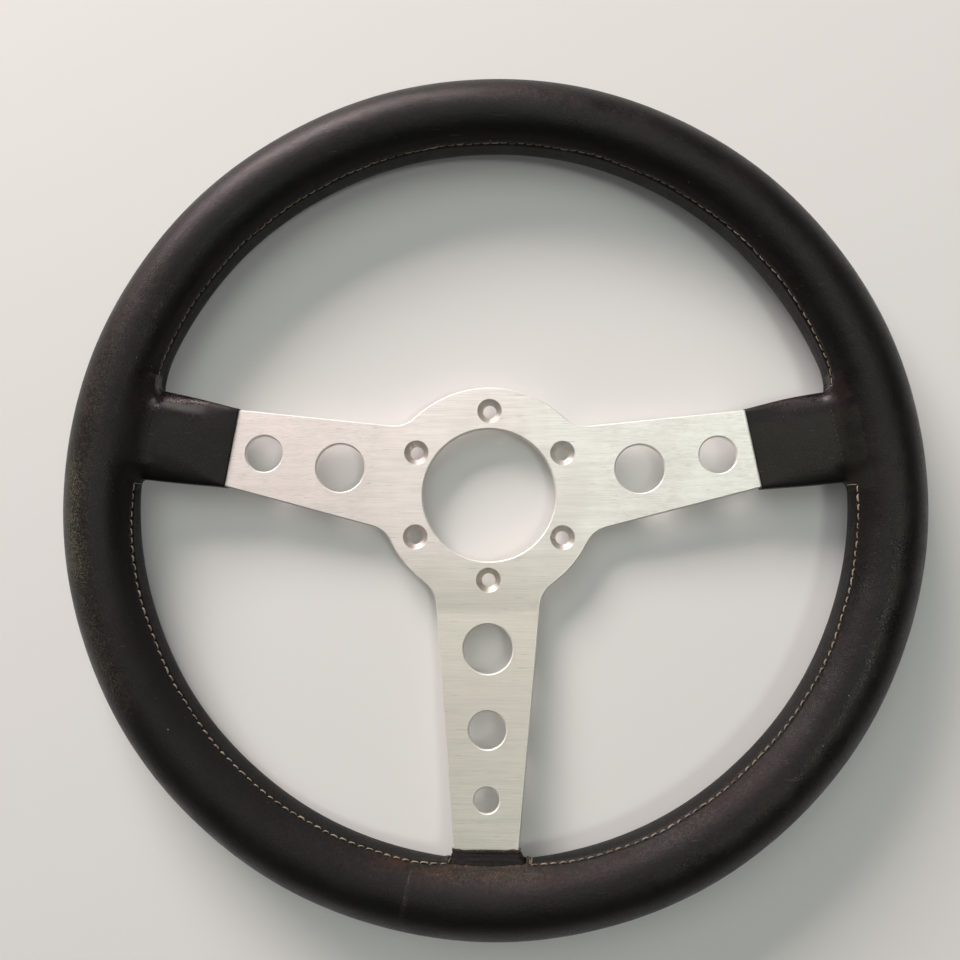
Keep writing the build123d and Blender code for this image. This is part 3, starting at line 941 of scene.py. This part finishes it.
def leather_material(name, gloss=0.35, marked=True):
    """Old black leather with a fine grain, aged where it is marked."""
    s = Shader(name)
    patch = s.noise(75, 4, 0.65)
    fine = s.noise(1250, 2, 0.6)
    black = s.ramp(s.noise(13, 3, 0.6), 0.35, 0.7)
    colour = s.mix(black, BLACK, BROWN_BLACK)
    colour = s.mix(s.ramp(fine, 0.4, 0.65, 0.0, 0.5), colour, PORE)
    rough = s.ramp(patch, 0.3, 0.7, gloss - 0.03, gloss + 0.08)
    rough = s.plus(rough, s.ramp(fine, 0.35, 0.65, -0.05, 0.07))
    shine = 0.30
    if marked:
        shine = s.ramp(s.attribute("matt_and_shade"), -0.3, -0.55, shine, 1.0)
        worn_flat = s.ramp(s.attribute("matt_and_shade"), -0.25, -0.5, 1.0, 0.1)
        colour, rough = aged(s, colour, rough, patch)

    def depth(deepest):
        """Depth of the grain, less where leather is polished."""
        return s.times(worn_flat, deepest) if marked else deepest

    warp = s.add("TexNoise", {"Vector": s.place, "Scale": 420.0}).outputs["Color"]
    inputs = {0: warp, 1: (0.0009, 0.0009, 0.0009), 2: s.place}
    bent = s.add("VectorMath", inputs, operation="MULTIPLY_ADD")
    grain = s.ramp(s.cells(1500, "DISTANCE_TO_EDGE", place=bent.outputs[0])["Distance"], 0.0, 0.22)
    normal = s.bump(s.noise(36), 0.0008)
    normal = s.bump(s.noise(420), depth(0.00005), Normal=normal)
    normal = s.bump(fine, depth(0.00003), Normal=normal)
    normal = s.bump(grain, depth(0.000028), Normal=normal)
    s.set(Base_Color=flecked(s, colour), Roughness=rough, Normal=normal)
    s.set(Specular_IOR_Level=shine, Specular_Tint=(1.0, 0.975, 0.96, 1))
    return s.material


def plate_material():
    """Aluminium, brushed from side to side, with painted light: lighter on the right, pinker on the left,
    darker and warmer at the bottom, with machined edges painted near-white as a highlight and screw cones
    painted darker as shade.
    """
    s = Shader("brushed_aluminium")
    streak = s.noise(1.0, 3, 0.75, place=s.scaled((55, 3000, 3000)))
    broad = s.noise(1.0, place=s.scaled((25, 420, 420)))
    cloud = s.noise(45, 3, 0.6)
    x, y, z = s.axes(s.place)
    # painted light: lighter to the right, pinker to the left, darker and warmer at the bottom, lighter at the
    # bottom arm's tip
    colour = s.mix(s.ramp(x, -0.09, 0.09), PLATE_LEFT_LIT, PLATE_RIGHT_LIT)
    colour = s.mix(s.ramp(y, -0.01, -0.05), colour, PLATE_BOTTOM_SHADED)
    colour = s.mix(s.ramp(y, -0.09, -0.135), colour, PLATE_TIP_LIT)
    colour = s.mix(s.ramp(cloud, 0.4, 0.65, 0.0, 0.35), colour, TARNISH)
    lines = s.plus(s.times(streak, 0.72), s.times(broad, 0.28))
    colour = s.mix(s.ramp(lines, 0.36, 0.60, 0.42, 0.0), colour, BRUSHING)
    scratch = s.noise(1.0, 1, 0.5, place=s.scaled((110, 2000, 2000)))
    colour = s.mix(s.ramp(scratch, 0.70, 0.76, 0.0, 0.4), colour, PLATE_SCRATCH)
    smudge = s.ramp(s.noise(120, 4, 0.7), 0.55, 0.8, 0.0, 0.12)
    colour = s.mix(smudge, colour, SMUDGE)
    rough = s.plus(s.ramp(lines, 0.3, 0.7, 0.38, 0.47), s.times(cloud, 0.06))
    rough = s.plus(rough, smudge)
    slope = s.axes(s.add("TexCoord").outputs["Normal"])[2]
    # painted highlight: chamfers, sloped between these, are near-white and less metallic
    edge = s.times(s.ramp(slope, 0.5, 0.6), s.ramp(slope, 0.85, 0.92, 1.0, 0.0))
    reach = s.length(s.add("CombineXYZ", {0: x, 1: y}).outputs[0])
    near = s.math("COMPARE", reach, BOLT_RADIUS * MM, CONE_ROOM * MM)
    cone = s.times(near, s.math("LESS_THAN", z, (2 * PLATE_HALF - CONE_RING) * MM))
    edge = s.times(edge, s.math("SUBTRACT", 1.0, cone))
    # painted shade: the screw cones darker
    colour = s.mix(s.times(cone, 0.25), colour, SCREW_CONE_SHADE)
    s.set(Base_Color=s.mix(edge, colour, CHAMFER_HIGHLIGHT))
    s.set(Metallic=s.math("SUBTRACT", 1.0, s.times(edge, 0.55)))
    s.set(Roughness=s.plus(rough, s.times(edge, 0.1)), Normal=s.bump(streak, 0.000010))
    return s.material


def metal_material(name, colour, roughness, grain):
    """Plain metal, clouded and finely grained."""
    s = Shader(name)
    cloud = s.noise(120, 3, 0.6)
    fine = s.noise(grain, 2, 0.6)
    dull = tuple(0.8 * c for c in colour[:3]) + (1,)
    s.set(Base_Color=s.mix(s.ramp(cloud, 0.3, 0.7), colour, dull), Metallic=1.0)
    s.set(Roughness=s.ramp(fine, 0.3, 0.7, roughness - 0.06, roughness + 0.06), Normal=s.bump(fine, 0.00002))
    return s.material


def foam_material():
    """Dark foam with fine cells."""
    s = Shader("moulded_foam")
    bubble = s.cells(700)["Distance"]
    colour = s.mix(s.ramp(bubble, 0.1, 0.6), (0.02, 0.02, 0.021, 1), (0.06, 0.06, 0.062, 1))
    s.set(Base_Color=colour, Roughness=0.9, Normal=s.bump(bubble, 0.0003))
    return s.material


def thread_material(name, clean, soiled):
    """Waxed thread, soiled by hands."""
    s = Shader(name)
    strand = s.noise(2500, 2, 0.6)
    uneven = s.ramp(s.noise(300, 2, 0.6), 0.35, 0.75, -0.25, 0.35)
    colour = s.mix(s.plus(s.attribute("soil"), uneven, clamp=True), clean, soiled)
    colour = s.mix(s.ramp(strand, 0.3, 0.7, 0.35, 0.0), colour, soiled)
    s.set(Base_Color=colour, Roughness=0.75, Normal=s.bump(strand, 0.00006))
    s.set(Sheen_Weight=0.2, Sheen_Roughness=0.5)
    return s.material


def floor_material():
    """Pale floor that throws back less light than is seen on it, in an even backdrop."""
    s = Shader("pale_floor")
    seen = s.seen()
    away = s.times(seen, s.ramp(s.length(s.place), 0.38, 0.85))
    pale = s.mix(s.noise(3), (0.785, 0.795, 0.775, 1), (0.805, 0.815, 0.795, 1))
    colour = s.mix(seen, (0.25, 0.24, 0.22, 1), pale)
    s.set(Base_Color=s.mix(away, colour, (0.0, 0.0, 0.0, 1)), Roughness=0.85, Specular_IOR_Level=0.1)
    glow = s.plus(s.times(seen, 0.05), s.times(away, BACKDROP))
    s.set(Emission_Color=BACKDROP_HUE, Emission_Strength=glow)
    return s.material


def studio_world():
    """Dim world, as pale as the far floor just above the horizon."""
    s = Shader("studio", bpy.data.worlds.new("studio"))
    band = s.times(s.seen(), s.ramp(s.axes(s.place)[2], 0.0, 0.24, BACKDROP, 0.0))
    s.set(Color=BACKDROP_HUE, Strength=s.plus(band, 0.06))
    return s.material


def give_material(thing, material):
    """Makes a material the only one of a thing."""
    thing.data.materials.clear()
    thing.data.materials.append(material)


# ---- Camera, floor and light

CAMERA_PLACE = 0.0127, -0.0338, 0.4153
CAMERA_TURN = 5.55, 2.27, 0.31  # degrees about x, y and z, as one rotation vector
LENS, SENSOR = 37.5, 36.0  # in the camera's own millimetres
FLOOR_HALF, FLOOR_DROP = 12000.0, 0.2  # in millimetres, as it is a shape
# A broad soft ceiling, a window beyond the rim's upper left, and a lamp: place, size, power and colour
SOFTBOXES = {
    "ceiling": ((-0.50, 1.00, 2.6), (2.5, 2.2), 21.0, (0.985, 1.0, 0.955)),
    "window": ((-1.05, 2.0, 1.05), (1.5, 0.8), 73.0, (1.0, 0.875, 0.86)),
    "lamp": ((0.95, -0.36, 2.6), (0.45, 0.5), 9.0, (0.97, 1.0, 0.93)),
}


def make_camera():
    """Above the wheel, a little low and to the right, as a hand-held camera."""
    camera = add_object("camera", bpy.data.cameras.new("camera"))
    camera.data.lens, camera.data.sensor_width = LENS, SENSOR
    camera.data.clip_start, camera.data.clip_end = 0.01, 20.0
    tilt = Vector(CAMERA_TURN)
    turn = Matrix.Rotation(radians(tilt.length), 4, tilt.normalized())
    camera.matrix_world = Matrix.Translation(CAMERA_PLACE) @ turn
    bpy.context.scene.camera = camera


def make_stage():
    """The floor, just below the wheel."""
    half, level = FLOOR_HALF, FLOOR_LEVEL - FLOOR_DROP
    corners = [(-half, -half, level), (half, -half, level), (half, half, level), (-half, half, level)]
    floor = mesh_object("floor", corners, [(0, 1, 2, 3)])
    give_material(floor, floor_material())


def make_light():
    """Softboxes that point at the wheel's middle, and the world."""
    for name, (place, size, power, colour) in SOFTBOXES.items():
        lamp = bpy.data.lights.new(name, "AREA")
        lamp.shape = "RECTANGLE"
        lamp.size, lamp.size_y = size
        lamp.energy, lamp.color = power, colour
        holder = add_object(name, lamp)
        holder.location = place
        holder.rotation_euler = (-Vector(place)).to_track_quat("-Z", "Y").to_euler()
    bpy.context.scene.world = studio_world()
    bpy.context.scene.view_settings.view_transform = "Standard"


make_camera()
make_stage()
make_light()

draws = np.random.default_rng(7)
give_material(make_cover(), leather_material("aged_leather"))
give_material(make_collar(), leather_material("collar_leather", 0.70, marked=False))
pale = thread_material("pale_thread", (0.40, 0.335, 0.25, 1), (0.12, 0.078, 0.048, 1))
dark = thread_material("dark_thread", (0.060, 0.050, 0.042, 1), (0.018, 0.015, 0.014, 1))
foam = foam_material()
for arm in EARS:
    give_material(make_ear_pad(arm), foam)
for seam in make_seams(draws):
    give_material(seam, pale)
for seam in make_ear_threads(draws):
    give_material(seam, dark)

steel = metal_material("rivet_steel", (0.56, 0.57, 0.58, 1), 0.36, 1200)
give_material(nodes["spoke_plate"], plate_material())
give_material(nodes["rim_hoop"], metal_material("rolled_aluminium", (0.62, 0.62, 0.61, 1), 0.42, 900))
for name, part in nodes.items():
    if name.endswith("_rivets"):
        give_material(part, steel)
    elif name.endswith("_padding"):
        give_material(part, foam)
